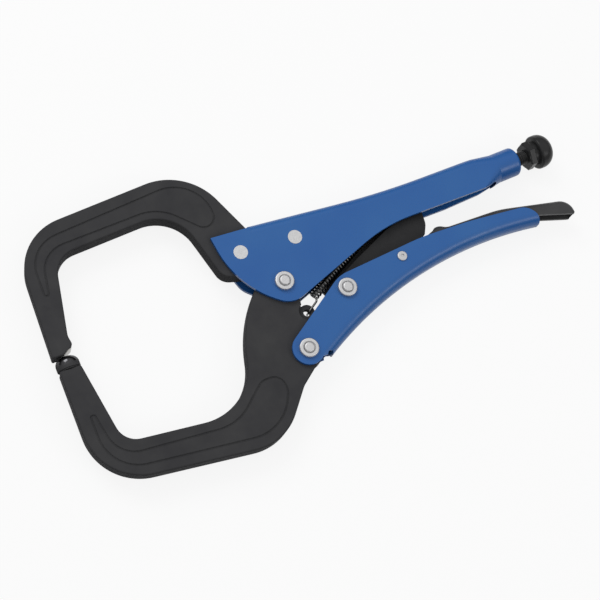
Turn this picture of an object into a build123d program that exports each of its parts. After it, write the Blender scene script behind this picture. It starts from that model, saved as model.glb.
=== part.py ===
from build123d import *
import math
import os

# Locking C-clamp pliers, lying on their side, in millimetres.
# X runs along the adjusting screw towards the knob, Y from the lower to the upper handle in the plane
# of the tool, and Z along the pivots. The main pivot's axis is at X = Y = 0, and Z = 0 is the surface
# that the ends of the pivot pins rest on. Outlines are drawn in the tool's middle plane.

# Thicknesses across the tool
jaw_thickness = 10.0
jaw_side_clearance = 0.2
sheet = 2.0
channel_gap = jaw_thickness + 2 * jaw_side_clearance
channel_width = channel_gap + 2 * sheet
link_thickness = 6.2
link_side_clearance = 0.3
lever_sheet = 1.6
lever_width = link_thickness + 2 * link_side_clearance + 2 * lever_sheet

# Pivots and rivets: places in the tool's plane
main_pivot = (0.0, 0.0)
handle_pivot = (-2.0, -38.3)
link_pivot = (30.7, -14.4)
lever_pivot = (66.7, -7.8)
jaw_rivet_front_place = (-15.8, 22.6)
jaw_rivet_rear_place = (15.2, 21.3)
pivot_pin_radius = 3.5
pivot_clearance = 0.05
washer_radius = 5.2
washer_thickness = 2.0
washer_edge_round = 0.7
washer_bore_chamfer = 0.6
pin_end_radius = 2.8
pin_end_height = 0.65
pin_end_round = 0.8
rest_height = channel_width / 2 + washer_thickness + pin_end_height
jaw_rivet_radius = 3.85
jaw_rivet_proud = 0.15
lever_rivet_radius = 2.2
lever_rivet_head_radius = 2.75
lever_rivet_head_height = 0.9
lever_rivet_head_round = 0.5
lever_rivet_dimple_radius = 1.1
lever_rivet_dimple_depth = 0.6

# Adjusting screw, the tube that holds it, and its knob, on an axis that rises towards the knob.
# The axis passes through the middle of the tube's front end, and lengths are measured along it.
screw_tilt = 3.5
tube_front = (142.0, 24.6)
screw_radius = 4.0
screw_clearance = 0.06
screw_tip_chamfer = 1.2
tube_length = 13.9
tube_end_round = 1.9
tube_radius = 8.25
tube_wall = 2.4
nut_length = 11.6
nut_inset = 2.0
knob_gap = 6.9
knob_start = tube_length + knob_gap
collar_across_flats = 14.2
collar_length = 4.5
collar_chamfer = 0.7
knob_neck_radius = 6.8
knob_neck_length = 1.9
knob_radius = 9.7
knob_length = 10.0
knob_back_round = 1.4
knob_dome_round = 7.0
knob_bore_depth = 6.0

# Upper handle: one sheet folded to a channel, open below, and rolled to the tube at the back.
# Each corner of an outline is (x, y, corner radius).
channel_end = 129.5
spine_front = -6.0
spine_front_y = 36.0
spine_fold_radius = 5.0
spine_bend = (70.8, 31.08, 500.0)
spine_end_y = 33.35
spine_level = (125.5, 100.0)
flange_end_y = 13.9
upper_plate_front_top = (-28.3, 35.1)
upper_plate_rear_top_y = 34.3
near_plate_lower_edge = [(-24.4, 4.6, 52.0), (0.1, -13.2, 13.0), (65.6, 11.75, 95.0)]
far_plate_lower_edge = [(-19.8, 6.2, 12.0), (0.6, -12.6, 13.0), (65.6, 11.9, 60.0), (95.0, 12.1, 60.0)]
far_flange_end_y = 15.1
far_flange_run_out_y = 17.6
seam_start_y = 7.5

# Upper jaw: a forged C arm whose tang is riveted into the channel
jaw_edge_round = 1.0
boss_radius = 11.5
boss_gap = 0.5
tip_y = 1.2
tip_gap = 0.3
upper_jaw_outline = [
    (-127.1, tip_y, 0.8), (-124.6, 69.0, 29.0), (-25.2, 77.9, 33.0), (-4.9, 29.5, 0.8),
    (26.0, 29.5, 3.0), (26.0, 15.0, 5.0), (7.6, 9.0, 0.0), (0.0, 0.0, 0.0), (-8.6, 7.9, 0.0),
    (-29.2, 13.2, 8.0), (-40.1, 57.4, 22.5), (-107.4, 51.9, 14.0), (-115.8, 10.0, 6.0),
    (-115.1, 5.6, 1.8), (-116.4, tip_y + 2.4, 1.6), (-121.0, tip_y, 3.0),
]

# Lower jaw: a forged C arm with a round nose, two pivot bosses and a thin ear for the return spring
handle_boss_radius = 9.0
shoulder_y = -6.4
nose_radius = 6.2
nose_round = 4.0
nose_neck_radius = 5.6
nose_neck_length = 0.7
nose_root_radius = 4.0
nose_root_depth = 2.0
nose_x = -120.5
lower_jaw_outline = [
    (-126.2, shoulder_y, 1.2), (-126.6, -68.1, 30.5), (-31.8, -80.2, 29.5), (-11.3, -55.6, 12.0),
    (1.0, -46.2, 0.0), (5.0, -37.0, 0.0), (4.5, -26.0, 6.0), (4.5, -13.5, 4.0), (8.0, -3.0, 0.0),
    (6.0, 6.0, 0.0), (-5.0, 9.0, 0.0), (-12.5, 5.1, 0.0), (-29.3, -13.6, 75.0), (-41.5, -58.8, 30.0),
    (-108.3, -51.3, 11.0), (-114.8, shoulder_y, 1.2),
]
ear_place = (6.3, -18.9)
ear_radius = 4.4
ear_thickness = 4.0
ear_pocket_radius = 5.0
ear_hole_radius = 1.9

# Forged line along both faces of each jaw
line_width = 1.2
line_depth = 0.5
upper_line_outline = [
    (-119.6, 33.3, 1.1), (-119.2, 61.4, 18.5), (-21.0, 72.3, 20.8), (-21.0, 34.0, 5.9),
    (-47.8, 60.8, 24.0), (-113.4, 56.4, 15.5), (-117.3, 33.3, 1.1),
]
lower_line_outline = [
    (-119.8, -33.4, 1.1), (-119.8, -63.5, 21.0), (-30.0, -74.2, 24.0), (-20.4, -55.0, 8.0),
    (-21.2, -45.6, 6.2), (-31.8, -45.9, 7.0), (-51.4, -62.7, 25.0), (-113.4, -57.5, 15.5),
    (-117.5, -33.4, 1.1),
]

# Lower handle: one sheet folded to a channel that is open towards the upper handle
handle_end_radius = 8.7
back_radius = 226.0
back_level = (125.8, -13.2)
back_center = (back_level[0], back_level[1] - back_radius)
back_fold_radius = 6.0
fold_front = 10.4
handle_end = 151.7
relief_radius = 1.7
relief_setback = 1.8
relief_rise = 0.36
handle_edge_rise = 33.7
lower_plate_open_edge = [
    (29.2, -6.7, 20.0), (82.0, -1.15, 120.0), (112.0, -1.35, 150.0), (handle_end, -4.1, 10.0),
]

# Toggle link: a flat bar from its pivot in the lower handle to the tip of the screw
link_head = (90.0, 21.1)
link_head_radius = 4.0
link_boss_radius = 6.8
link_to_screw_gap = 3.2
link_outline = [
    (28.6, -7.9, 0.0), (44.0, 0.0, 20.0), (66.0, 10.0, 12.0), (80.0, 14.5, 10.0), (86.4, 22.3, 0.0),
    (93.8, 20.7, 0.0), (89.6, 13.0, 10.0), (88.9, 6.2, 8.0), (85.6, 0.3, 2.0), (62.0, -3.9, 12.0),
    (32.6, -20.8, 0.0),
]
link_web_thickness = 1.6
link_web_outline = [
    (21.5, -12.0, 1.0), (20.0, -8.0, 2.0), (26.5, -1.2, 4.0), (60.0, 11.4, 30.0), (70.0, 14.0, 10.0),
    (83.0, 19.5, 2.0), (88.0, 19.0, 0.0), (80.0, 8.0, 0.0), (60.0, -2.0, 0.0), (34.0, -15.0, 0.0),
]

# Release lever: a small folded channel inside the lower handle, its tail past the handle's end
lever_ear_radius = 5.5
lever_fold_radius = 4.0
lever_web_front = 93.4
lever_top = [
    (69.0, -2.4, 0.0), (81.0, -1.8, 0.0), (94.9, 3.6, 6.0), (100.0, 1.0, 8.0), (133.0, 1.0, 60.0),
]
lever_tail_top = (175.4, -6.8, 8.5)
lever_tail_bottom = [(175.4, -14.2, 0.0), (173.2, -16.0, 0.0)]
lever_bottom = [
    (150.0, -9.4, 60.0), (126.0, -7.6, 60.0), (100.0, -8.6, 30.0), (78.0, -11.8, 8.0), (66.9, -12.4, 0.0),
]

# Return spring: a close-wound wire, hooked through the jaw's ear and round a stud in the channel
wire_diameter = 1.15
coil_radius = 2.3
coil_pitch = 1.9
coil_turns = 24
coil_start = (13.7, -11.2)
coil_angle = 29.0
stud_place = (67.0, 15.8)
hook_place = (ear_place[0] + 1.0, ear_place[1])
hook_bend = 1.6
hook_corner = (13.9, -14.6)
hook_corner_round = 1.2
stud_radius = 1.2
stud_head_radius = 2.6
stud_head_height = 0.8
stud_hook_clearance = 0.4
spring_clearance = 0.35


def outline(corners):
    """Flat face inside rounded corners, each given as (x, y, radius)."""
    points = [(x, y) for x, y, radius in corners]
    radii = [radius for x, y, radius in corners]
    return make_face(FilletPolyline(*points, radius=radii, close=True))


def disc(place, radius):
    return Pos(*place) * Circle(radius)


def slab(face, thickness):
    """Solid on both sides of the middle plane."""
    return extrude(face, thickness / 2, both=True)


def region(x_low, x_high, y_low, y_high):
    """Rectangle given by its sides."""
    center = ((x_low + x_high) / 2, (y_low + y_high) / 2)
    return Pos(*center) * Rectangle(x_high - x_low, y_high - y_low)


def cross_hole(place, radius):
    return Pos(*place) * Cylinder(radius, 2 * rest_height)


def on_screw_axis(distance):
    """Place on the screw's axis, a distance behind the tube's front end, with Z along the axis."""
    return Pos(*tube_front) * Rot(0, 0, screw_tilt) * Pos(distance, 0, 0) * Rot(0, 90, 0)


def along_screw(distance, radius, length):
    """Round bar on the screw's axis."""
    bar = Cylinder(radius, length, align=(Align.CENTER, Align.CENTER, Align.MIN))
    return on_screw_axis(distance) * bar


def channel_section(x, y_low, y_high, width, high_round, low_round):
    """Rounded section across the handle, in the plane at x."""
    half = width / 2
    corners = [(y_high, half, high_round), (y_low, half, low_round)]
    corners += [(y_low, -half, low_round), (y_high, -half, high_round)]
    plane = Plane(origin=(x, 0, 0), x_dir=(0, 1, 0), z_dir=(1, 0, 0))
    return plane * outline(corners)


def tube_section(radius):
    """Round section at the tube's front end, drawn with the same corners as the channel's."""
    nearly_round = radius - 0.01
    section = channel_section(0, -radius, radius, 2 * radius, nearly_round, nearly_round)
    return Pos(*tube_front) * Rot(0, 0, screw_tilt) * section


def top_edges(solid, height_of_top):
    """Edges along both sides of a solid's top, away from its ends."""
    found = []
    for edge in solid.edges():
        middle = edge.center()
        lies_along = abs(edge.tangent_at(0.5).X) > 0.9
        if lies_along and abs(middle.Z) > 1 and middle.Y > height_of_top:
            found.append(edge)
    return found


def arc_edges(solid, radius):
    """Edges of a solid that lie on arcs of one radius."""
    arcs = solid.edges().filter_by(GeomType.CIRCLE)
    return [edge for edge in arcs if abs(edge.radius - radius) < 0.001]


def spine_line(drop):
    """Corners along the upper handle's top, from back to front, lowered by a sheet for the inside."""
    bend_x, bend_y, bend_round = spine_bend
    level_x, level_round = spine_level
    front_x = upper_plate_front_top[0]
    slope = (spine_front_y - bend_y) / (spine_front - bend_x)
    front_y = bend_y + slope * (front_x - bend_x)
    return [
        (channel_end, spine_end_y - drop, 0.0), (level_x, spine_end_y - drop, level_round),
        (bend_x, bend_y - drop, bend_round), (front_x, front_y - drop, 0.0),
    ]


def make_upper_handle():
    front_x, front_y = upper_plate_front_top
    tube_x, tube_y = tube_front
    low = -40
    high = 60
    plate = outline([*near_plate_lower_edge, (channel_end, flange_end_y, 0.0), *spine_line(0)])
    rear = slab(plate & region(spine_front, channel_end, low, high), channel_width)
    rear = fillet(top_edges(rear, tube_y), spine_fold_radius)
    above_plates = outline([
        (front_x, front_y, 0.0), (spine_front, upper_plate_rear_top_y, 0.0), (spine_front, high, 0.0),
        (front_x - 10, high, 0.0), (front_x - 10, front_y, 0.0),
    ])
    front_face = (plate & region(front_x - 10, spine_front, low, high)) - above_plates
    front_plates = slab(front_face, channel_width)

    hollow = slab(outline([(front_x, low, 0.0), (channel_end, low, 0.0), *spine_line(sheet)]), channel_gap)
    hollow = fillet(top_edges(hollow, tube_y), spine_fold_radius - sheet)
    mouth = slab(region(front_x - 10, spine_front, low, high), channel_gap)

    outer_roll = loft([
        channel_section(
            channel_end, flange_end_y, spine_end_y, channel_width, spine_fold_radius, sheet / 4),
        tube_section(tube_radius),
    ], ruled=True)
    inner_roll = loft([
        channel_section(
            channel_end, seam_start_y, spine_end_y - sheet, channel_gap, spine_fold_radius - sheet, sheet / 4),
        tube_section(tube_radius - tube_wall),
    ], ruled=True)
    tube = along_screw(0, tube_radius, tube_length)
    tube = fillet(tube.edges().sort_by(Axis.X)[-1], tube_end_round)
    bore = along_screw(0, tube_radius - tube_wall, tube_length)

    far_plate = outline([
        (front_x, front_y, 0.0), *far_plate_lower_edge, (channel_end, far_flange_end_y, 0.0),
        (tube_x, far_flange_run_out_y, 0.0), (tube_x, high, 0.0), (front_x, high, 0.0),
    ])
    far_trim = extrude(region(front_x - 10, tube_x, low, high) - far_plate, 2 * sheet)

    handle = (rear + front_plates - hollow - mouth) + (outer_roll - inner_roll) + (tube - bore)
    handle -= Pos(0, 0, jaw_side_clearance - channel_gap / 2 - 2 * sheet) * far_trim
    handle -= cross_hole(main_pivot, pivot_pin_radius)
    for place in (jaw_rivet_front_place, jaw_rivet_rear_place):
        handle -= cross_hole(place, jaw_rivet_radius)
    return handle - Pos(*stud_place, -channel_width / 2) * Cylinder(stud_radius, 2 * sheet)


def jaw_blank(face):
    """Jaw with its outline's edges rounded on both faces."""
    blank = slab(face, jaw_thickness)
    rims = blank.faces().sort_by(Axis.Z)
    return fillet(rims[0].edges() + rims[-1].edges(), jaw_edge_round)


def lined(jaw, corners):
    """Jaw with a forged line sunk into both faces, narrower at its floor."""
    inside = outline(corners)
    for width, depth in ((line_width, line_depth / 2), (line_width / 2, line_depth)):
        ring = offset(inside, width / 2) - offset(inside, -width / 2)
        cutter = extrude(ring, 2 * line_depth)
        jaw -= Pos(0, 0, jaw_thickness / 2 - depth) * cutter
        jaw -= Pos(0, 0, depth - jaw_thickness / 2 - 2 * line_depth) * cutter
    return jaw


def make_upper_jaw():
    face = outline(upper_jaw_outline) - disc(main_pivot, boss_radius + boss_gap)
    jaw = lined(jaw_blank(face), upper_line_outline)
    for place in (jaw_rivet_front_place, jaw_rivet_rear_place):
        jaw -= cross_hole(place, jaw_rivet_radius)
    return jaw


def make_lower_jaw():
    jaw = lined(jaw_blank(outline(lower_jaw_outline)), lower_line_outline)
    jaw += slab(disc(main_pivot, boss_radius), jaw_thickness)
    jaw += slab(disc(handle_pivot, handle_boss_radius), jaw_thickness)
    pocket = Pos(*ear_place) * (Cylinder(ear_pocket_radius, jaw_thickness) - Cylinder(
        ear_pocket_radius, ear_thickness))
    jaw = jaw - pocket + Pos(*ear_place) * Cylinder(ear_radius, ear_thickness)
    jaw -= cross_hole(ear_place, ear_hole_radius)
    for place in (main_pivot, handle_pivot):
        jaw -= cross_hole(place, pivot_pin_radius + pivot_clearance)
    neck_top = shoulder_y + nose_neck_length
    profile = outline([
        (0.0, shoulder_y - nose_root_depth, 0.0), (nose_root_radius, shoulder_y - nose_root_depth, 0.0),
        (nose_root_radius, shoulder_y, 0.0), (nose_neck_radius, shoulder_y, 0.0),
        (nose_neck_radius, neck_top, 0.0), (nose_radius, neck_top, 0.0),
        (nose_radius, tip_y - tip_gap, nose_round), (0.0, tip_y - tip_gap, 0.0),
    ])
    return jaw + Pos(nose_x, 0, 0) * revolve(profile, Axis.Y)


def make_lower_handle():
    rise = math.radians(handle_edge_rise)
    pivot_x, pivot_y = handle_pivot
    edge_start_x = pivot_x - handle_end_radius * math.sin(rise)
    edge_start_y = pivot_y + handle_end_radius * math.cos(rise)
    back_y = back_center[1] + math.sqrt(back_radius ** 2 - (fold_front - back_center[0]) ** 2)
    relief_y = back_y + relief_rise
    low = -70
    plate = outline([
        (edge_start_x, edge_start_y, 0.0), *lower_plate_open_edge, (handle_end, low, 0.0),
        (fold_front, low, 0.0), (fold_front, relief_y, 0.0), (pivot_x + 6.0, relief_y, 0.0),
        (pivot_x, pivot_y, 0.0),
    ])
    plate = plate + disc(handle_pivot, handle_end_radius) - disc(back_center, back_radius)
    outer = slab(plate, channel_width)
    outer = fillet(arc_edges(outer, back_radius), back_fold_radius)

    back = disc(back_center, back_radius + sheet) & region(fold_front, handle_end + 20, low, 0)
    hollow = slab(region(pivot_x - 30, handle_end + 20, low, 30) - back, channel_gap)
    hollow = fillet(arc_edges(hollow, back_radius + sheet), back_fold_radius - sheet)

    handle = outer - hollow - cross_hole((fold_front - relief_setback, relief_y), relief_radius)
    handle -= cross_hole(handle_pivot, pivot_pin_radius)
    handle -= cross_hole(link_pivot, pivot_pin_radius)
    return handle - cross_hole(lever_pivot, lever_rivet_radius)


def make_toggle_link():
    face = outline(link_outline) + disc(link_pivot, link_boss_radius) + disc(link_head, link_head_radius)
    link = slab(face, link_thickness)
    link += Pos(*link_pivot) * Cylinder(link_boss_radius, jaw_thickness)
    web_top = -(coil_radius + wire_diameter / 2 + spring_clearance)
    link += Pos(0, 0, web_top - link_web_thickness) * extrude(outline(link_web_outline), link_web_thickness)
    return link - cross_hole(link_pivot, pivot_pin_radius + pivot_clearance)


def make_release_lever():
    tail_x, tail_top_y, tail_round = lever_tail_top
    walls = outline([*lever_top, lever_tail_top, *lever_tail_bottom, *lever_bottom])
    walls = walls + disc(lever_pivot, lever_ear_radius)
    outer = slab(walls, lever_width)
    folds = [edge for edge in top_edges(outer, tail_top_y) if edge.center().X > lever_web_front + 3]
    outer = fillet(folds, lever_fold_radius)

    low = -40
    inner_tail = (tail_x - lever_sheet, tail_top_y - lever_sheet, tail_round - lever_sheet)
    web = [(x, y - lever_sheet, 0.0) for x, y, corner in lever_top[4:]]
    inside = outline([
        (lever_web_front, low, 0.0), (lever_web_front, web[0][1], 0.0), *web, inner_tail,
        (tail_x - lever_sheet, low, 0.0),
    ])
    gap = lever_width - 2 * lever_sheet
    hollow = slab(inside, gap)
    mouth = slab(region(lever_pivot[0] - 20, lever_web_front, low, 20), gap)
    return outer - hollow - mouth - cross_hole(lever_pivot, lever_rivet_radius + pivot_clearance)


def make_pivot_pin(place):
    ends = Cylinder(pin_end_radius, 2 * rest_height)
    ends = fillet(ends.edges().filter_by(GeomType.CIRCLE), pin_end_round)
    return Pos(*place) * (ends + Cylinder(pivot_pin_radius, channel_width))


def make_pivot_washers(place):
    """One raised washer on each side of a handle, round the end of its pin."""
    ring = Cylinder(washer_radius, washer_thickness, align=(Align.CENTER, Align.CENTER, Align.MIN))
    ring = fillet(ring.edges().sort_by(Axis.Z)[-1], washer_edge_round)
    ring -= Cylinder(pin_end_radius, 4 * washer_thickness)
    ring = chamfer(ring.edges().group_by(Axis.Z)[-1].sort_by(SortBy.RADIUS)[0], washer_bore_chamfer)
    near = Pos(*place, channel_width / 2) * ring
    return [near, mirror(near, Plane.XY)]


def make_jaw_rivet(place):
    return Pos(*place) * Cylinder(jaw_rivet_radius, channel_width + 2 * jaw_rivet_proud)


def make_lever_rivet():
    length = channel_width + 2 * lever_rivet_head_height
    rivet = Cylinder(lever_rivet_head_radius, length)
    rivet = fillet(rivet.edges().filter_by(GeomType.CIRCLE), lever_rivet_head_round)
    rivet -= Cylinder(lever_rivet_head_radius, channel_width) - Cylinder(lever_rivet_radius, channel_width)
    dimple = Cylinder(lever_rivet_dimple_radius, length) - Cylinder(
        lever_rivet_dimple_radius, length - 2 * lever_rivet_dimple_depth)
    return Pos(*lever_pivot) * (rivet - dimple)


def make_screw_nut():
    start = tube_length - nut_inset - nut_length
    ring = along_screw(start, tube_radius - tube_wall, nut_length)
    return ring - along_screw(start, screw_radius + screw_clearance, nut_length)


def make_adjusting_screw():
    start = link_head[0] + link_head_radius + link_to_screw_gap - tube_front[0]
    rod = along_screw(start, screw_radius, knob_start + knob_bore_depth - start)
    return chamfer(rod.edges().sort_by(Axis.X)[0], screw_tip_chamfer)


def make_adjusting_knob():
    collar = extrude(RegularPolygon(collar_across_flats / 2, 6, major_radius=False), collar_length)
    rims = collar.edges().group_by(Axis.Z)
    collar = chamfer(rims[0] + rims[-1], collar_chamfer)
    neck = Cylinder(knob_neck_radius, collar_length + knob_neck_length, align=(
        Align.CENTER, Align.CENTER, Align.MIN))
    base = collar_length + knob_neck_length
    top = base + knob_length
    profile = outline([
        (0.0, base, 0.0), (knob_radius, base, knob_back_round), (knob_radius, top, knob_dome_round),
        (0.0, top, 0.0),
    ])
    dome = revolve(Plane.XZ * profile, Axis.Z)
    knob = collar + neck + dome
    knob -= Cylinder(screw_radius + pivot_clearance, 2 * (knob_bore_depth + pivot_clearance))
    return on_screw_axis(knob_start) * knob


def make_spring_stud():
    """Stud in the far plate, with a small head that keeps the hook on."""
    low = -channel_width / 2
    head_low = coil_radius + wire_diameter / 2 + stud_hook_clearance
    base = (Align.CENTER, Align.CENTER, Align.MIN)
    shank = Pos(0, 0, low) * Cylinder(stud_radius, head_low - low, align=base)
    head = Pos(0, 0, head_low) * Cylinder(stud_head_radius, stud_head_height, align=base)
    return Pos(*stud_place) * (shank + head)


def coil_point(turn):
    """Point and direction on the spring's coil after a number of turns."""
    angle = math.radians(coil_angle)
    along = Vector(math.cos(angle), math.sin(angle), 0)
    across = Vector(-math.sin(angle), math.cos(angle), 0)
    up = Vector(0, 0, 1)
    phase = 2 * math.pi * turn
    place = Vector(*coil_start) + along * (coil_pitch * turn)
    place += (across * math.sin(phase) + up * math.cos(phase)) * coil_radius
    swing = (across * math.cos(phase) - up * math.sin(phase)) * (2 * math.pi * coil_radius)
    return place, (swing + along * coil_pitch).normalized()


def biarc(start, start_direction, end, end_direction):
    """Two tangent arcs from one point and direction to another."""
    chord = end - start
    turn = start_direction + end_direction
    a = 2 * (1 - start_direction.dot(end_direction))
    b = 2 * chord.dot(turn)
    c = -chord.dot(chord)
    reach = (-b + math.sqrt(b * b - 4 * a * c)) / (2 * a)
    start_handle = start + start_direction * reach
    end_handle = end - end_direction * reach
    middle = (start_handle + end_handle) * 0.5
    through = (end_handle - start_handle).normalized()
    first = TangentArc(start, middle, tangent=start_direction)
    second = TangentArc(middle, end, tangent=through)
    return [first, second]


def spring_path():
    """Wire's centre line: hook in the jaw's ear, coil, and hook round the stud."""
    edges = []
    first, first_direction = coil_point(0)
    up = Vector(0, 0, 1)
    foot = Vector(*hook_place)
    corner = Vector(*hook_corner)
    run = (corner - foot).normalized()
    rise = (Vector(*coil_start) - corner).normalized()
    hook_z = ear_thickness / 2 + wire_diameter / 2 + stud_hook_clearance / 2
    hook_turn = foot + up * (hook_z - hook_bend)
    hook_out = foot + up * hook_z + run * hook_bend
    corner_start = corner + up * hook_z - run * hook_corner_round
    corner_end = corner + up * hook_z + rise * hook_corner_round
    edges.append(Line(foot - up * hook_z, hook_turn))
    edges.append(TangentArc(hook_turn, hook_out, tangent=up))
    edges.append(Line(hook_out, corner_start))
    edges.append(TangentArc(corner_start, corner_end, tangent=run))
    edges += biarc(corner_end, rise, first, first_direction)

    quarters = 4 * coil_turns
    for quarter in range(quarters):
        start, start_direction = coil_point(quarter / 4)
        end, end_direction = coil_point((quarter + 1) / 4)
        edges += biarc(start, start_direction, end, end_direction)

    last, last_direction = coil_point(coil_turns)
    stud = Vector(*stud_place) + up * coil_radius
    along = (stud - last).normalized()
    side = Vector(-along.Y, along.X, 0) * coil_radius
    hook_side = stud - side
    run_start = hook_side - along * ((stud - last).length - 2.5 * coil_radius)
    edges += biarc(last, last_direction, run_start, along)
    hook_far = stud + along * coil_radius
    hook_back = stud + side
    edges.append(Line(run_start, hook_side))
    edges.append(TangentArc(hook_side, hook_far, tangent=along))
    edges.append(TangentArc(hook_far, hook_back, tangent=side))
    edges.append(Line(hook_back, hook_back - along * wire_diameter))
    return Wire(edges)


def least_gap(path, wire):
    """Smallest free gap between stretches of the wire that aren't neighbours."""
    count = 2400
    step = path.length / count
    points = [path.position_at(index / count) for index in range(count + 1)]
    apart = int(2.5 * wire / step) + 1
    best = path.length
    for index, point in enumerate(points):
        for other in points[index + apart:index + apart + 160]:
            best = min(best, (other - point).length)
    return best - wire


def make_return_spring():
    path = spring_path()
    section = Plane(path.position_at(0), z_dir=path.tangent_at(0)) * Circle(wire_diameter / 2)
    print("return spring: least gap to itself", round(least_gap(path, wire_diameter), 3), "mm")
    return sweep(section, path=path)


def save(node, solids):
    """Write one node, lifted so that the pins' ends rest at Z = 0."""
    if not isinstance(solids, list):
        solids = [solids]
    placed = [Pos(0, 0, rest_height) * solid for solid in solids]
    shape = placed[0] if len(placed) == 1 else Compound(children=placed)
    export_step(shape, os.path.join("parts", node + ".step"))


os.makedirs("parts", exist_ok=True)
save("upper_handle", make_upper_handle())
save("upper_jaw", make_upper_jaw())
save("jaw_rivet_front", make_jaw_rivet(jaw_rivet_front_place))
save("jaw_rivet_rear", make_jaw_rivet(jaw_rivet_rear_place))
save("lower_jaw", make_lower_jaw())
save("lower_handle", make_lower_handle())
save("toggle_link", make_toggle_link())
save("release_lever", make_release_lever())
save("lever_rivet", make_lever_rivet())
for pivot_name, pivot_place in (("main", main_pivot), ("handle", handle_pivot), ("link", link_pivot)):
    save(pivot_name + "_pivot_pin", make_pivot_pin(pivot_place))
    save(pivot_name + "_pivot_washers", make_pivot_washers(pivot_place))
save("spring_stud", make_spring_stud())
save("return_spring", make_return_spring())
save("screw_nut", make_screw_nut())
save("adjusting_screw", make_adjusting_screw())
save("adjusting_knob", make_adjusting_knob())
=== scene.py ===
import math

import bpy
from mathutils import Matrix, Vector


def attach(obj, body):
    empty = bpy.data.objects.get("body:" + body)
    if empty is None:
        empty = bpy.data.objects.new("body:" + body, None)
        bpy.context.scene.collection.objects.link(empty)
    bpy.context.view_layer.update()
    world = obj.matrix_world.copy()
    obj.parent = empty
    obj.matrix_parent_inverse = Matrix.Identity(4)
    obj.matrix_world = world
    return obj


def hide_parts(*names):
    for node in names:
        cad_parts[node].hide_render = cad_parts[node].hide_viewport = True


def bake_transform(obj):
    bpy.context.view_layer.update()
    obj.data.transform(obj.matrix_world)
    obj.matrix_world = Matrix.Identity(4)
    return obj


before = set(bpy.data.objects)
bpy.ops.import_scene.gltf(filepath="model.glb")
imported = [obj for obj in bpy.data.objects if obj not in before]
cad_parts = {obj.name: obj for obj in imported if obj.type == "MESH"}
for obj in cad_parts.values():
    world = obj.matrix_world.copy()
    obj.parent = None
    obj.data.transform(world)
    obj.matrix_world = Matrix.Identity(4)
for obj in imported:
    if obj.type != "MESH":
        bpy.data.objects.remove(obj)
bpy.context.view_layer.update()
MM = 0.001

# Sizes shared with the solids, in millimetres
REST_HEIGHT = 9.85
TUBE_FRONT = Vector((142.0, 24.6, 0.0))
SCREW_TILT = math.radians(3.5)
SCREW_START = -44.8
SCREW_END = 26.8
SCREW_RADIUS = 4.0
SCREW_PITCH = 1.25
THREAD_DEPTH = 0.72
WIRE_DIAMETER = 1.15
COIL_RADIUS = 2.3
COIL_PITCH = 1.9
COIL_TURNS = 24
COIL_START = Vector((13.7, -11.2, 0.0))
COIL_ANGLE = math.radians(29.0)
EAR_THICKNESS = 4.0
HOOK_PLACE = Vector((7.3, -18.9, 0.0))
HOOK_BEND = 1.6
HOOK_CORNER = Vector((13.9, -14.6, 0.0))
HOOK_CORNER_ROUND = 1.2
HOOK_CLEARANCE = 0.2
STUD_PLACE = Vector((67.0, 15.8, 0.0))

# Softness of the wire's bends, in millimetres, and the straight run before the stud, in coil radii
CORNER_EASE = 0.7
COIL_EASE = 0.8
TAIL_EASE = 2.0
TAIL_RUN = 2.5

# Share of a thread's pitch that is flat at its crest and at its root
THREAD_FLAT = 0.06

# How finely lines and rounds are drawn
TURN_STEPS = 24
STRAIGHT_STEPS = 8
BEND_STEPS = 8
TAIL_STEPS = 12
STUD_STEPS = 16
WIRE_SIDES = 12
SCREW_SIDES = 32
RINGS_PER_PITCH = 8.0

# Studio: half the floor's width in metres, and the share of the floor that the camera sees as plain white
FLOOR_REACH = 3.0
FLOOR_WHITE_SHARE = 0.75
FLOOR_WHITE_LEVEL = 1.15

# Camera that was matched to the photograph
CAMERA_PLACE = (-0.2126, -0.1837, 0.69745)
CAMERA_ANGLES = (19.268, -11.0, -23.014)
CAMERA_LENS = 84.0
CAMERA_SENSOR = 36.0


def color(hex_value):
    """sRGB hex to the linear colour that a shader takes."""
    parts = [int(hex_value[i:i + 2], 16) / 255 for i in (1, 3, 5)]
    linear = [p / 12.92 if p <= 0.04045 else ((p + 0.055) / 1.055) ** 2.4 for p in parts]
    return (*linear, 1.0)


def per_metre(size_mm):
    """Texture scale for a feature of this size."""
    return 1.0 / (size_mm * MM)


def add(tree, kind, values=(), links=(), **settings):
    """One node with its settings, socket values and links."""
    made = tree.nodes.new(kind)
    for name, value in settings.items():
        setattr(made, name, value)
    for socket, value in values:
        made.inputs[socket].default_value = value
    for socket, source in links:
        tree.links.new(source, made.inputs[socket])
    return made


def new_material(name):
    """Empty material with its shader, its output and the piece's own coordinates."""
    material = bpy.data.materials.new(name)
    material.use_nodes = True
    tree = material.node_tree
    tree.nodes.clear()
    shader = add(tree, "ShaderNodeBsdfPrincipled")
    add(tree, "ShaderNodeOutputMaterial", links=[("Surface", shader.outputs[0])])
    place = add(tree, "ShaderNodeTexCoord").outputs["Object"]
    return material, tree, shader, place


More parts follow.
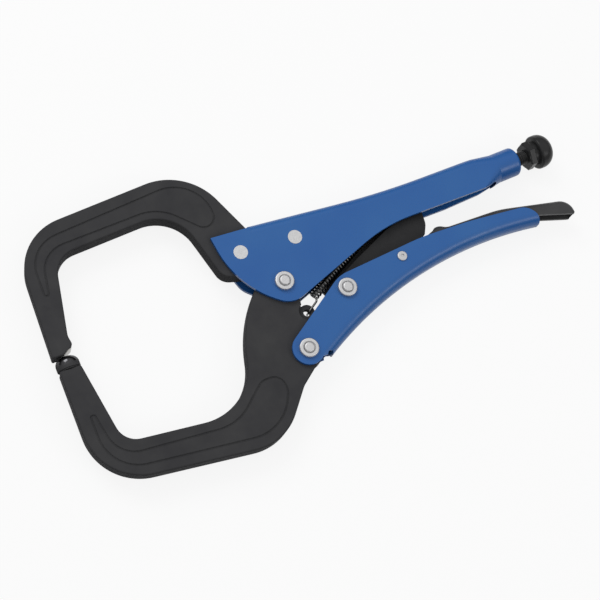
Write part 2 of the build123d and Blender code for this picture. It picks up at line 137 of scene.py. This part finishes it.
def baked_blue_enamel():
    """Sprayed and baked enamel on folded sheet: an even blue, soft gloss and a faint slow waviness."""
    material, tree, shader, place = new_material("baked_blue_enamel")
    drift = add(tree, "ShaderNodeTexNoise", links=[("Vector", place)],
                values=[("Scale", per_metre(35)), ("Detail", 2.0), ("Roughness", 0.5)])
    tint = add(tree, "ShaderNodeValToRGB", links=[("Fac", drift.outputs["Fac"])])
    tint.color_ramp.elements[0].position = 0.3
    tint.color_ramp.elements[0].color = color("#1E5699")
    tint.color_ramp.elements[1].position = 0.7
    tint.color_ramp.elements[1].color = color("#255C9B")
    # orange peel of about 1 mm would not show at this size, so it is drawn at 3 mm
    peel = add(tree, "ShaderNodeTexNoise", links=[("Vector", place)],
               values=[("Scale", per_metre(3)), ("Detail", 1.0)])
    gloss = add(tree, "ShaderNodeMapRange", links=[("Value", peel.outputs["Fac"])],
                values=[("From Min", 0.3), ("From Max", 0.7), ("To Min", 0.3), ("To Max", 0.36)])
    bump = add(tree, "ShaderNodeBump", links=[("Height", peel.outputs["Fac"])],
               values=[("Strength", 0.02), ("Distance", 0.08 * MM)])
    shader.inputs["Specular IOR Level"].default_value = 0.4
    tree.links.new(tint.outputs["Color"], shader.inputs["Base Color"])
    tree.links.new(gloss.outputs["Result"], shader.inputs["Roughness"])
    tree.links.new(bump.outputs["Normal"], shader.inputs["Normal"])
    return material


def black_oxide(name, dark, light, low_rough, high_rough, grain_mm, bump_strength, reflection):
    """Steel blackened in hot salts: a dark grey, dull on forged skin and satin on pressed or turned steel."""
    material, tree, shader, place = new_material(name)
    scale_patch = add(tree, "ShaderNodeTexNoise", links=[("Vector", place)],
                      values=[("Scale", per_metre(16)), ("Detail", 5.0), ("Roughness", 0.6)])
    tint = add(tree, "ShaderNodeValToRGB", links=[("Fac", scale_patch.outputs["Fac"])])
    tint.color_ramp.elements[0].position = 0.32
    tint.color_ramp.elements[0].color = color(dark)
    tint.color_ramp.elements[1].position = 0.72
    tint.color_ramp.elements[1].color = color(light)
    # the oxide's own grain is far too fine to show, so it is drawn at under a millimetre
    grain = add(tree, "ShaderNodeTexNoise", links=[("Vector", place)],
                values=[("Scale", per_metre(grain_mm)), ("Detail", 4.0), ("Roughness", 0.6)])
    gloss = add(tree, "ShaderNodeMapRange", links=[("Value", grain.outputs["Fac"])],
                values=[("From Min", 0.3), ("From Max", 0.7), ("To Min", low_rough), ("To Max", high_rough)])
    bump = add(tree, "ShaderNodeBump", links=[("Height", grain.outputs["Fac"])],
               values=[("Strength", bump_strength), ("Distance", 0.12 * MM)])
    shader.inputs["Specular IOR Level"].default_value = reflection
    tree.links.new(tint.outputs["Color"], shader.inputs["Base Color"])
    tree.links.new(gloss.outputs["Result"], shader.inputs["Roughness"])
    tree.links.new(bump.outputs["Normal"], shader.inputs["Normal"])
    return material


def rub_bare(material, center_mm, reach_mm, facing, hue, roughness):
    """Place on a blackened piece that work has rubbed to bare, shinier metal, on faces that look one way."""
    tree = material.node_tree
    shader = tree.nodes["Principled BSDF"]
    source = add(tree, "ShaderNodeTexCoord")
    away = add(tree, "ShaderNodeVectorMath", operation="DISTANCE", links=[(0, source.outputs["Object"])],
               values=[(1, [size * MM for size in center_mm])])
    near = add(tree, "ShaderNodeMapRange", links=[("Value", away.outputs["Value"])],
               values=[("From Min", reach_mm * MM), ("From Max", 0.9 * reach_mm * MM)])
    toward = add(tree, "ShaderNodeVectorMath", operation="DOT_PRODUCT", links=[(0, source.outputs["Normal"])],
                 values=[(1, facing)])
    turned = add(tree, "ShaderNodeMapRange", links=[("Value", toward.outputs["Value"])],
                 values=[("From Min", 0.35), ("From Max", 0.75)])
    rubbed = add(tree, "ShaderNodeMath", operation="MULTIPLY", links=[
        (0, near.outputs["Result"]), (1, turned.outputs["Result"])])
    # a mix node keeps its colour sockets at 6, 7 and 2, and its number sockets at 2, 3 and 0
    changes = (
        ("Base Color", "RGBA", color(hue), 6, 7, 2),
        ("Roughness", "FLOAT", roughness, 2, 3, 0),
    )
    for socket, kind, bare, from_black, to_bare, result in changes:
        black = shader.inputs[socket].links[0].from_socket
        blend = add(tree, "ShaderNodeMix", data_type=kind, values=[(to_bare, bare)], links=[
            (0, rubbed.outputs[0]), (from_black, black)])
        tree.links.new(blend.outputs[result], shader.inputs[socket])
    tree.links.new(rubbed.outputs[0], shader.inputs["Metallic"])
    return material


def zinc_plate():
    """Bright zinc on upset rivets and washers: pale silver, softly blurred by the plating's fine grain."""
    material, tree, shader, place = new_material("bright_zinc_plate")
    # plating grain of some hundredths of a millimetre would not show, so it is drawn at 0.7 mm
    grain = add(tree, "ShaderNodeTexNoise", links=[("Vector", place)],
                values=[("Scale", per_metre(0.7)), ("Detail", 4.0), ("Roughness", 0.6)])
    tint = add(tree, "ShaderNodeValToRGB", links=[("Fac", grain.outputs["Fac"])])
    tint.color_ramp.elements[0].position = 0.3
    tint.color_ramp.elements[0].color = color("#C6C6C8")
    tint.color_ramp.elements[1].position = 0.7
    tint.color_ramp.elements[1].color = color("#D8D8D8")
    gloss = add(tree, "ShaderNodeMapRange", links=[("Value", grain.outputs["Fac"])],
                values=[("From Min", 0.3), ("From Max", 0.7), ("To Min", 0.46), ("To Max", 0.56)])
    bump = add(tree, "ShaderNodeBump", links=[("Height", grain.outputs["Fac"])],
               values=[("Strength", 0.1), ("Distance", 0.04 * MM)])
    shader.inputs["Metallic"].default_value = 1.0
    tree.links.new(tint.outputs["Color"], shader.inputs["Base Color"])
    tree.links.new(gloss.outputs["Result"], shader.inputs["Roughness"])
    tree.links.new(bump.outputs["Normal"], shader.inputs["Normal"])
    return material


def oil_tempered_wire():
    """Drawn and oil-tempered spring wire: dark grey metal with fine draw marks."""
    material, tree, shader, place = new_material("oil_tempered_wire")
    # draw marks are finer than this, and are drawn at half a millimetre
    marks = add(tree, "ShaderNodeTexNoise", links=[("Vector", place)],
                values=[("Scale", per_metre(0.5)), ("Detail", 3.0)])
    tint = add(tree, "ShaderNodeValToRGB", links=[("Fac", marks.outputs["Fac"])])
    tint.color_ramp.elements[0].color = color("#585858")
    tint.color_ramp.elements[1].color = color("#7C7C7A")
    shader.inputs["Metallic"].default_value = 1.0
    shader.inputs["Roughness"].default_value = 0.3
    tree.links.new(tint.outputs["Color"], shader.inputs["Base Color"])
    return material


enamel = baked_blue_enamel()
forging = {
    "dark": "#38383A", "light": "#404041", "low_rough": 0.6, "high_rough": 0.76,
    "grain_mm": 0.9, "bump_strength": 0.25, "reflection": 0.03,
}
upper_forging = rub_bare(
    black_oxide("black_oxide_forging_rubbed_tip", **forging),
    center_mm=(-118.4, 2.6, REST_HEIGHT), reach_mm=5.0, facing=(0.4, -0.9, 0.0),
    hue="#A09E9A", roughness=0.3)
lower_forging = rub_bare(
    black_oxide("black_oxide_forging_polished_nose", **forging),
    center_mm=(-120.5, 8.0, REST_HEIGHT), reach_mm=14.0, facing=(0.0, 0.3, 0.95),
    hue="#4A4A4C", roughness=0.1)
pressing = black_oxide(
    "black_oxide_pressing", dark="#242425", light="#2D2D2E", low_rough=0.34, high_rough=0.46,
    grain_mm=0.6, bump_strength=0.1, reflection=0.12)
folding = black_oxide(
    "black_oxide_folding", dark="#3A3A3B", light="#464647", low_rough=0.26, high_rough=0.38,
    grain_mm=0.6, bump_strength=0.1, reflection=0.16)
turning = black_oxide(
    "black_oxide_turning", dark="#282829", light="#323232", low_rough=0.24, high_rough=0.36,
    grain_mm=0.5, bump_strength=0.08, reflection=0.16)
zinc = zinc_plate()
wire = oil_tempered_wire()

FINISHES = {
    "upper_handle": enamel, "lower_handle": enamel,
    "upper_jaw": upper_forging, "lower_jaw": lower_forging,
    "toggle_link": pressing, "release_lever": folding,
    "adjusting_screw": turning, "adjusting_knob": turning,
    "return_spring": wire,
}
for node_name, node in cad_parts.items():
    node.data.materials.clear()
    node.data.materials.append(FINISHES.get(node_name, zinc))


def mesh_piece(name, vertices, faces, material):
    """New piece at the origin, its place in its mesh."""
    mesh = bpy.data.meshes.new(name)
    mesh.from_pydata(vertices, [], faces)
    mesh.materials.append(material)
    mesh.update()
    piece = bpy.data.objects.new(name, mesh)
    bpy.context.scene.collection.objects.link(piece)
    return piece


def coil_point(turn):
    """Point on the spring's coil after a number of turns."""
    along = Vector((math.cos(COIL_ANGLE), math.sin(COIL_ANGLE), 0))
    across = Vector((-math.sin(COIL_ANGLE), math.cos(COIL_ANGLE), 0))
    phase = 2 * math.pi * turn
    place = COIL_START + along * (COIL_PITCH * turn)
    return place + (across * math.sin(phase) + Vector((0, 0, 1)) * math.cos(phase)) * COIL_RADIUS


def eased(start, start_way, end, end_way, reach, steps):
    """Points of a smooth bend from one place and direction to another."""
    points = []
    for step in range(1, steps):
        t = step / steps
        a = start + start_way * reach
        b = end - end_way * reach
        points.append(
            start * (1 - t) ** 3 + a * (3 * t * (1 - t) ** 2) + b * (3 * t * t * (1 - t)) + end * t ** 3
        )
    return points


def spring_line():
    """Centre line of the wire: hook in the jaw's ear, coil, and hook round the stud."""
    up = Vector((0, 0, 1))
    run = (HOOK_CORNER - HOOK_PLACE).normalized()
    rise = (COIL_START - HOOK_CORNER).normalized()
    hook_z = EAR_THICKNESS / 2 + WIRE_DIAMETER / 2 + HOOK_CLEARANCE
    points = []
    for step in range(STRAIGHT_STEPS + 1):
        points.append(HOOK_PLACE + up * (-hook_z + (2 * hook_z - HOOK_BEND) * step / STRAIGHT_STEPS))
    middle = HOOK_PLACE + up * (hook_z - HOOK_BEND) + run * HOOK_BEND
    for step in range(1, BEND_STEPS + 1):
        turn = math.pi / 2 * step / BEND_STEPS
        points.append(middle + (up * math.sin(turn) - run * math.cos(turn)) * HOOK_BEND)
    corner_start = HOOK_CORNER + up * hook_z - run * HOOK_CORNER_ROUND
    corner_end = HOOK_CORNER + up * hook_z + rise * HOOK_CORNER_ROUND
    start = points[-1]
    for step in range(1, STRAIGHT_STEPS + 1):
        points.append(start.lerp(corner_start, step / STRAIGHT_STEPS))
    points += eased(corner_start, run, corner_end, rise, CORNER_EASE, BEND_STEPS)
    points.append(corner_end)
    first = coil_point(0)
    first_way = (coil_point(0.01) - first).normalized()
    points += eased(corner_end, rise, first, first_way, COIL_EASE, BEND_STEPS)
    for step in range(COIL_TURNS * TURN_STEPS + 1):
        points.append(coil_point(step / TURN_STEPS))
    last = points[-1]
    last_way = (last - coil_point(COIL_TURNS - 0.01)).normalized()
    stud = STUD_PLACE + up * COIL_RADIUS
    along = (stud - last).normalized()
    side = Vector((-along.y, along.x, 0))
    hook_side = stud - side * COIL_RADIUS
    run_start = hook_side - along * ((stud - last).length - TAIL_RUN * COIL_RADIUS)
    points += eased(last, last_way, run_start, along, TAIL_EASE, TAIL_STEPS)
    for step in range(STRAIGHT_STEPS + 1):
        points.append(run_start.lerp(hook_side, step / STRAIGHT_STEPS))
    for step in range(1, STUD_STEPS + 1):
        turn = math.pi * step / STUD_STEPS
        points.append(stud + (along * math.sin(turn) - side * math.cos(turn)) * COIL_RADIUS)
    for end_step in range(2):
        points.append(points[-1] - along * (WIRE_DIAMETER / 2))
    return [(point + up * REST_HEIGHT) * MM for point in points]


def wound_wire_tree(material):
    """Node tree that turns a line into round wire of a given diameter."""
    tree = bpy.data.node_groups.new("wound_wire", "GeometryNodeTree")
    tree.interface.new_socket("Line", in_out="INPUT", socket_type="NodeSocketGeometry")
    diameter = tree.interface.new_socket("Wire diameter", in_out="INPUT", socket_type="NodeSocketFloat")
    tree.interface.new_socket("Wire", in_out="OUTPUT", socket_type="NodeSocketGeometry")
    source = add(tree, "NodeGroupInput")
    half = add(tree, "ShaderNodeMath", operation="MULTIPLY", links=[(0, source.outputs["Wire diameter"])],
               values=[(1, 0.5)])
    line = add(tree, "GeometryNodeMeshToCurve", links=[("Mesh", source.outputs["Line"])])
    section = add(tree, "GeometryNodeCurvePrimitiveCircle", values=[("Resolution", WIRE_SIDES)],
                  links=[("Radius", half.outputs[0])])
    tube = add(tree, "GeometryNodeCurveToMesh", values=[("Fill Caps", True)], links=[
        ("Curve", line.outputs["Curve"]), ("Profile Curve", section.outputs["Curve"])])
    smooth = add(tree, "GeometryNodeSetShadeSmooth", links=[("Geometry", tube.outputs["Mesh"])])
    real = add(tree, "GeometryNodeRealizeInstances", links=[("Geometry", smooth.outputs["Geometry"])])
    painted = add(tree, "GeometryNodeSetMaterial", values=[("Material", material)],
                  links=[("Geometry", real.outputs["Geometry"])])
    add(tree, "NodeGroupOutput", links=[("Wire", painted.outputs["Geometry"])])
    return tree, diameter.identifier


def plain_mesh(piece):
    """The piece with its modifiers made part of a plain mesh."""
    depsgraph = bpy.context.evaluated_depsgraph_get()
    mesh = bpy.data.meshes.new_from_object(piece.evaluated_get(depsgraph))
    piece.modifiers.clear()
    piece.data = mesh
    return piece


def make_spring():
    """Wound wire that stretches between the stud in the upper handle and the lower jaw's ear."""
    points = spring_line()
    mesh = bpy.data.meshes.new("return_spring_wire")
    mesh.from_pydata(points, [(i, i + 1) for i in range(len(points) - 1)], [])
    piece = bpy.data.objects.new("return_spring_wire", mesh)
    bpy.context.scene.collection.objects.link(piece)
    tree, diameter = wound_wire_tree(wire)
    modifier = piece.modifiers.new("wire", "NODES")
    modifier.node_group = tree
    modifier[diameter] = WIRE_DIAMETER * MM
    plain_mesh(piece)
    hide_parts("return_spring")
    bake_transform(piece)


def rolled_thread_tree(material):
    """Node tree that makes a bar along X, from zero, with a thread rolled into it."""
    tree = bpy.data.node_groups.new("rolled_thread", "GeometryNodeTree")
    identifiers = {}
    for name in ("Radius", "Length", "Pitch", "Depth"):
        socket = tree.interface.new_socket(name, in_out="INPUT", socket_type="NodeSocketFloat")
        identifiers[name] = socket.identifier
    tree.interface.new_socket("Bar", in_out="OUTPUT", socket_type="NodeSocketGeometry")
    size = add(tree, "NodeGroupInput").outputs
    end = add(tree, "ShaderNodeCombineXYZ", links=[("X", size["Length"])])
    axis = add(tree, "GeometryNodeCurvePrimitiveLine", links=[("End", end.outputs[0])])
    step = add(tree, "ShaderNodeMath", operation="DIVIDE", links=[(0, size["Pitch"])],
               values=[(1, RINGS_PER_PITCH)])
    rings = add(tree, "GeometryNodeResampleCurve", mode="LENGTH", links=[
        ("Curve", axis.outputs["Curve"]), ("Length", step.outputs[0])])
    section = add(tree, "GeometryNodeCurvePrimitiveCircle", values=[("Resolution", SCREW_SIDES)],
                  links=[("Radius", size["Radius"])])
    bar = add(tree, "GeometryNodeCurveToMesh", values=[("Fill Caps", True)], links=[
        ("Curve", rings.outputs["Curve"]), ("Profile Curve", section.outputs["Curve"])])
    place = add(tree, "GeometryNodeInputPosition").outputs[0]
    split = add(tree, "ShaderNodeSeparateXYZ", links=[(0, place)]).outputs
    angle = add(tree, "ShaderNodeMath", operation="ARCTAN2", links=[(0, split["Z"]), (1, split["Y"])])
    turns = add(tree, "ShaderNodeMath", operation="DIVIDE", links=[(0, angle.outputs[0])],
                values=[(1, 2 * math.pi)])
    pitches = add(tree, "ShaderNodeMath", operation="DIVIDE", links=[(0, split["X"]), (1, size["Pitch"])])
    phase = add(tree, "ShaderNodeMath", operation="SUBTRACT", links=[
        (0, pitches.outputs[0]), (1, turns.outputs[0])])
    wave = add(tree, "ShaderNodeMath", operation="FRACT", links=[(0, phase.outputs[0])])
    flank = add(tree, "ShaderNodeMath", operation="PINGPONG", links=[(0, wave.outputs[0])],
                values=[(1, 0.5)])
    share = add(tree, "ShaderNodeMapRange", links=[("Value", flank.outputs[0])],
                values=[("From Min", THREAD_FLAT), ("From Max", 0.5 - THREAD_FLAT)])
    inward = add(tree, "ShaderNodeMath", operation="MULTIPLY", links=[
        (0, share.outputs["Result"]), (1, size["Depth"])])
    ratio = add(tree, "ShaderNodeMath", operation="DIVIDE", links=[
        (0, inward.outputs[0]), (1, size["Radius"])])
    across = add(tree, "ShaderNodeVectorMath", operation="MULTIPLY", links=[(0, place)],
                 values=[(1, (0.0, -1.0, -1.0))])
    shift = add(tree, "ShaderNodeVectorMath", operation="SCALE", links=[
        (0, across.outputs["Vector"]), ("Scale", ratio.outputs[0])])
    cut = add(tree, "GeometryNodeSetPosition", links=[
        ("Geometry", bar.outputs["Mesh"]), ("Offset", shift.outputs["Vector"])])
    real = add(tree, "GeometryNodeRealizeInstances", links=[("Geometry", cut.outputs["Geometry"])])
    painted = add(tree, "GeometryNodeSetMaterial", values=[("Material", material)],
                  links=[("Geometry", real.outputs["Geometry"])])
    add(tree, "NodeGroupOutput", links=[("Bar", painted.outputs["Geometry"])])
    return tree, identifiers


def make_screw():
    """Screw with a rolled thread along its whole length, on its tilted axis."""
    piece = bpy.data.objects.new("adjusting_screw_thread", bpy.data.meshes.new("adjusting_screw_thread"))
    bpy.context.scene.collection.objects.link(piece)
    tree, identifiers = rolled_thread_tree(turning)
    modifier = piece.modifiers.new("thread", "NODES")
    modifier.node_group = tree
    sizes = {"Radius": SCREW_RADIUS, "Length": SCREW_END - SCREW_START, "Pitch": SCREW_PITCH,
             "Depth": THREAD_DEPTH}
    for name, value in sizes.items():
        modifier[identifiers[name]] = value * MM
    plain_mesh(piece)
    lift = Matrix.Translation((TUBE_FRONT + Vector((0, 0, REST_HEIGHT))) * MM)
    piece.data.transform(
        lift @ Matrix.Rotation(SCREW_TILT, 4, "Z") @ Matrix.Translation((SCREW_START * MM, 0, 0)))
    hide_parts("adjusting_screw")
    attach(piece, "adjusting_screw")


def make_floor():
    """Pale studio floor under the tool: white, and still dark enough in the shade to show the shadow."""
    material = bpy.data.materials.new("pale_floor")
    material.use_nodes = True
    tree = material.node_tree
    tree.nodes.clear()
    matt = add(tree, "ShaderNodeBsdfDiffuse", values=[("Color", color("#AEAEAE"))])
    glow = add(tree, "ShaderNodeEmission", values=[
        ("Color", color("#FFFFFF")), ("Strength", FLOOR_WHITE_LEVEL)])
    path = add(tree, "ShaderNodeLightPath")
    seen = add(tree, "ShaderNodeMath", operation="MAXIMUM", links=[
        (0, path.outputs["Is Camera Ray"]), (1, path.outputs["Is Glossy Ray"])])
    share = add(tree, "ShaderNodeMath", operation="MULTIPLY", links=[(0, seen.outputs[0])],
                values=[(1, FLOOR_WHITE_SHARE)])
    mixed = add(tree, "ShaderNodeMixShader", links=[
        (0, share.outputs[0]), (1, matt.outputs[0]), (2, glow.outputs[0])])
    add(tree, "ShaderNodeOutputMaterial", links=[("Surface", mixed.outputs[0])])
    reach = FLOOR_REACH
    corners = [(-reach, -reach, 0), (reach, -reach, 0), (reach, reach, 0), (-reach, reach, 0)]
    floor = mesh_piece("floor", corners, [(0, 1, 2, 3)], material)


def make_world():
    """Studio with a white ceiling and darker walls, and a white background for the camera."""
    world = bpy.data.worlds.new("studio")
    bpy.context.scene.world = world
    world.use_nodes = True
    tree = world.node_tree
    tree.nodes.clear()
    way = add(tree, "ShaderNodeTexCoord").outputs["Generated"]
    height = add(tree, "ShaderNodeSeparateXYZ", links=[(0, way)]).outputs["Z"]
    ceiling = add(tree, "ShaderNodeMapRange", links=[("Value", height)], interpolation_type="SMOOTHSTEP",
                  values=[("From Min", 0.1), ("From Max", 0.75), ("To Min", 0.06), ("To Max", 0.8)])
    path = add(tree, "ShaderNodeLightPath")
    seen = add(tree, "ShaderNodeMath", operation="MAXIMUM", links=[
        (0, path.outputs["Is Camera Ray"]), (1, path.outputs["Is Transmission Ray"])])
    strength = add(tree, "ShaderNodeMath", operation="MAXIMUM", links=[
        (0, ceiling.outputs["Result"]), (1, seen.outputs[0])])
    sky = add(tree, "ShaderNodeBackground", values=[("Color", color("#FFFFFF"))],
              links=[("Strength", strength.outputs[0])])
    add(tree, "ShaderNodeOutputWorld", links=[("Surface", sky.outputs[0])])


def add_softbox(name, place, target, size, power):
    """Square soft lamp that looks at a target, its power in watts."""
    light = bpy.data.lights.new(name, "AREA")
    light.shape = "SQUARE"
    light.size = size
    light.energy = power
    lamp = bpy.data.objects.new(name, light)
    lamp.location = place
    lamp.rotation_euler = (Vector(target) - Vector(place)).to_track_quat("-Z", "Y").to_euler()
    bpy.context.scene.collection.objects.link(lamp)


def add_camera():
    """Camera at the photograph's angle."""
    camera = bpy.data.cameras.new("camera")
    camera.sensor_width = CAMERA_SENSOR
    camera.lens = CAMERA_LENS
    camera.clip_start = 0.05
    holder = bpy.data.objects.new("camera", camera)
    holder.location = CAMERA_PLACE
    holder.rotation_euler = [math.radians(angle) for angle in CAMERA_ANGLES]
    bpy.context.scene.collection.objects.link(holder)
    bpy.context.scene.camera = holder


make_spring()
make_screw()
make_floor()
make_world()
add_softbox("key", place=(-0.3, 0.9, 0.95), target=(0.0, 0.0, 0.0), size=0.7, power=7.0)
add_softbox("edge", place=(0.7, -0.75, 0.75), target=(0.05, 0.0, 0.0), size=0.35, power=1.8)
add_camera()
bpy.context.scene.view_settings.view_transform = "Standard"
